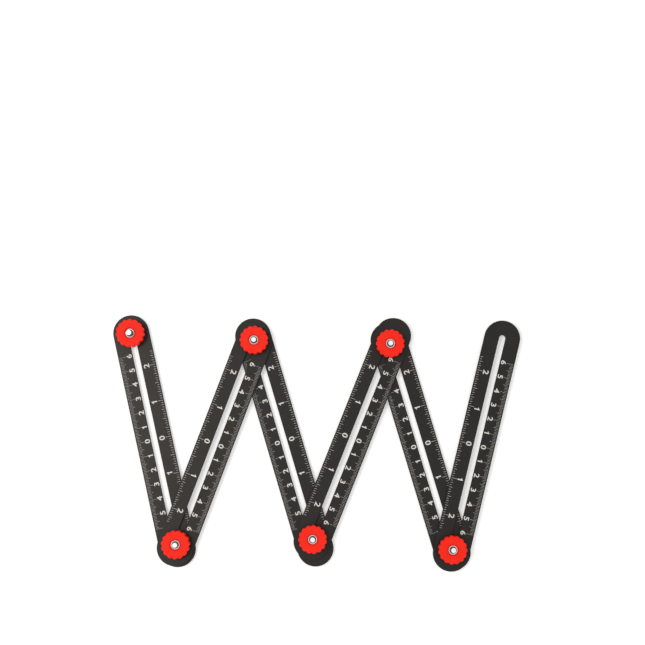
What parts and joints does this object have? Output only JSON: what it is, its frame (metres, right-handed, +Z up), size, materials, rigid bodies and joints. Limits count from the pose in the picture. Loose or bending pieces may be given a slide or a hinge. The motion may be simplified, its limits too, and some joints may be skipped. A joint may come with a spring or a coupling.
{
  "type": "folding angle ruler",
  "caption": "Folding ruler of slotted flat arms joined in a zigzag by bolts and toothed thumb knobs, so that corners and angles can be copied.",
  "frame": {"origin": "on the resting plane under the bolt heads, at the middle of the arms' outline seen from above", "axes": "+X along the row of pivots, from the first arm to the last; +Y towards the free ends' side, away from the lower row of three knobs; +Z up out of the printed faces"},
  "size_m": [0.2816, 0.1754, 0.0166],
  "materials": {
    "black_aluminium": "black anodised, satin, with white printed scales",
    "red_plastic": "moulded plastic, semi-gloss",
    "nickel_insert": "nickel plated",
    "zinc_steel": "bright zinc plated",
    "washer_steel": "plain zinc plated",
    "black_nylon": "moulded nylon"
  },
  "bodies": {
    "arm_3": {"arm_3": "black_aluminium"},
    "arm_1": {"arm_1": "black_aluminium"},
    "arm_2": {"arm_2": "black_aluminium"},
    "arm_4": {"arm_4": "black_aluminium"},
    "arm_5": {"arm_5": "black_aluminium"},
    "arm_6": {"arm_6": "black_aluminium"},
    "bolt_0": {"bolt_0": "zinc_steel", "washer_0": "washer_steel"},
    "knob_0": {"knob_0": "red_plastic", "knob_insert_0": "nickel_insert"},
    "bolt_1": {"bolt_1": "zinc_steel"},
    "swivel_1": {"spacer_1": "black_nylon", "washer_1": "washer_steel"},
    "knob_1": {"knob_1": "red_plastic", "knob_insert_1": "nickel_insert"},
    "bolt_2": {"bolt_2": "zinc_steel"},
    "swivel_2": {"spacer_2": "black_nylon", "washer_2": "washer_steel"},
    "knob_2": {"knob_2": "red_plastic", "knob_insert_2": "nickel_insert"},
    "bolt_3": {"bolt_3": "zinc_steel"},
    "swivel_3": {"spacer_3": "black_nylon", "washer_3": "washer_steel"},
    "knob_3": {"knob_3": "red_plastic", "knob_insert_3": "nickel_insert"},
    "bolt_4": {"bolt_4": "zinc_steel"},
    "swivel_4": {"spacer_4": "black_nylon", "washer_4": "washer_steel"},
    "knob_4": {"knob_4": "red_plastic", "knob_insert_4": "nickel_insert"},
    "bolt_5": {"bolt_5": "zinc_steel"},
    "swivel_5": {"spacer_5": "black_nylon", "washer_5": "washer_steel"},
    "knob_5": {"knob_5": "red_plastic", "knob_insert_5": "nickel_insert"}
  },
  "joints": [
    {"name": "angle_1", "type": "hinge", "parent": "swivel_1", "child": "bolt_1", "pos_m": [-0.09557, -0.06907, 0.0031], "axis": [0, 0, 1], "range_deg": [-17.5, 206.5]},
    {"name": "angle_2", "type": "hinge", "parent": "bolt_2", "child": "swivel_2", "pos_m": [-0.04304, 0.06993, 0.0031], "axis": [0, 0, -1], "range_deg": [-21.3, 152.7]},
    {"name": "angle_3", "type": "hinge", "parent": "bolt_3", "child": "swivel_3", "pos_m": [-0.00265, -0.06557, 0.0031], "axis": [0, 0, -1], "range_deg": [-22.4, 151.6]},
    {"name": "angle_4", "type": "hinge", "parent": "swivel_4", "child": "bolt_4", "pos_m": [0.05061, 0.06757, 0.0031], "axis": [0, 0, 1], "range_deg": [-22.4, 151.6]},
    {"name": "angle_5", "type": "hinge", "parent": "bolt_5", "child": "swivel_5", "pos_m": [0.09241, -0.07263, 0.0031], "axis": [0, 0, -1], "range_deg": [-14.6, 209.4]},
    {"name": "bolt_slide_0", "type": "slide", "parent": "arm_1", "child": "bolt_0", "axis": [0.2215, -0.9751, 0], "range_m": [0, 0.05]},
    {"name": "bolt_slide_1_lower", "type": "slide", "parent": "bolt_1", "child": "arm_1", "axis": [-0.2215, 0.9751, 0], "range_m": [-0.05, 0.0028]},
    {"name": "bolt_slide_1_upper", "type": "slide", "parent": "arm_2", "child": "swivel_1", "axis": [0.3535, 0.9354, 0], "range_m": [-0.0027, 0.05]},
    {"name": "bolt_slide_2_lower", "type": "slide", "parent": "arm_3", "child": "bolt_2", "axis": [0.2857, -0.9583, 0], "range_m": [-0.0028, 0.05]},
    {"name": "bolt_slide_2_upper", "type": "slide", "parent": "swivel_2", "child": "arm_2", "axis": [-0.3535, -0.9354, 0], "range_m": [-0.05, 0.0002]},
    {"name": "bolt_slide_3_lower", "type": "slide", "parent": "arm_3", "child": "bolt_3", "axis": [-0.2857, 0.9583, 0], "range_m": [-0.0061, 0.05]},
    {"name": "bolt_slide_3_upper", "type": "slide", "parent": "swivel_3", "child": "arm_4", "axis": [0.3714, 0.9285, 0], "range_m": [-0.05, 0.0018]},
    {"name": "bolt_slide_4_lower", "type": "slide", "parent": "bolt_4", "child": "arm_5", "axis": [0.2857, -0.9583, 0], "range_m": [-0.05, 0.0024]},
    {"name": "bolt_slide_4_upper", "type": "slide", "parent": "arm_4", "child": "swivel_4", "axis": [-0.3714, -0.9285, 0], "range_m": [-0.0063, 0.05]},
    {"name": "bolt_slide_5_lower", "type": "slide", "parent": "arm_5", "child": "bolt_5", "axis": [-0.2857, 0.9583, 0], "range_m": [-0.0016, 0.05]},
    {"name": "bolt_slide_5_upper", "type": "slide", "parent": "swivel_5", "child": "arm_6", "axis": [0.2419, 0.9703, 0], "range_m": [-0.05, 0.0028]},
    {"name": "knob_turn_0", "type": "hinge", "parent": "bolt_0", "child": "knob_0", "pos_m": [-0.12825, 0.07476, 0.0051], "axis": [0, 0, 1], "continuous": true},
    {"name": "knob_turn_1", "type": "hinge", "parent": "bolt_1", "child": "knob_1", "pos_m": [-0.09557, -0.06907, 0.0051], "axis": [0, 0, 1], "continuous": true},
    {"name": "knob_turn_2", "type": "hinge", "parent": "bolt_2", "child": "knob_2", "pos_m": [-0.04304, 0.06993, 0.0051], "axis": [0, 0, 1], "continuous": true},
    {"name": "knob_turn_3", "type": "hinge", "parent": "bolt_3", "child": "knob_3", "pos_m": [-0.00265, -0.06557, 0.0051], "axis": [0, 0, 1], "continuous": true},
    {"name": "knob_turn_4", "type": "hinge", "parent": "bolt_4", "child": "knob_4", "pos_m": [0.05061, 0.06757, 0.0051], "axis": [0, 0, 1], "continuous": true},
    {"name": "knob_turn_5", "type": "hinge", "parent": "bolt_5", "child": "knob_5", "pos_m": [0.09241, -0.07263, 0.0051], "axis": [0, 0, 1], "continuous": true}
  ]
}
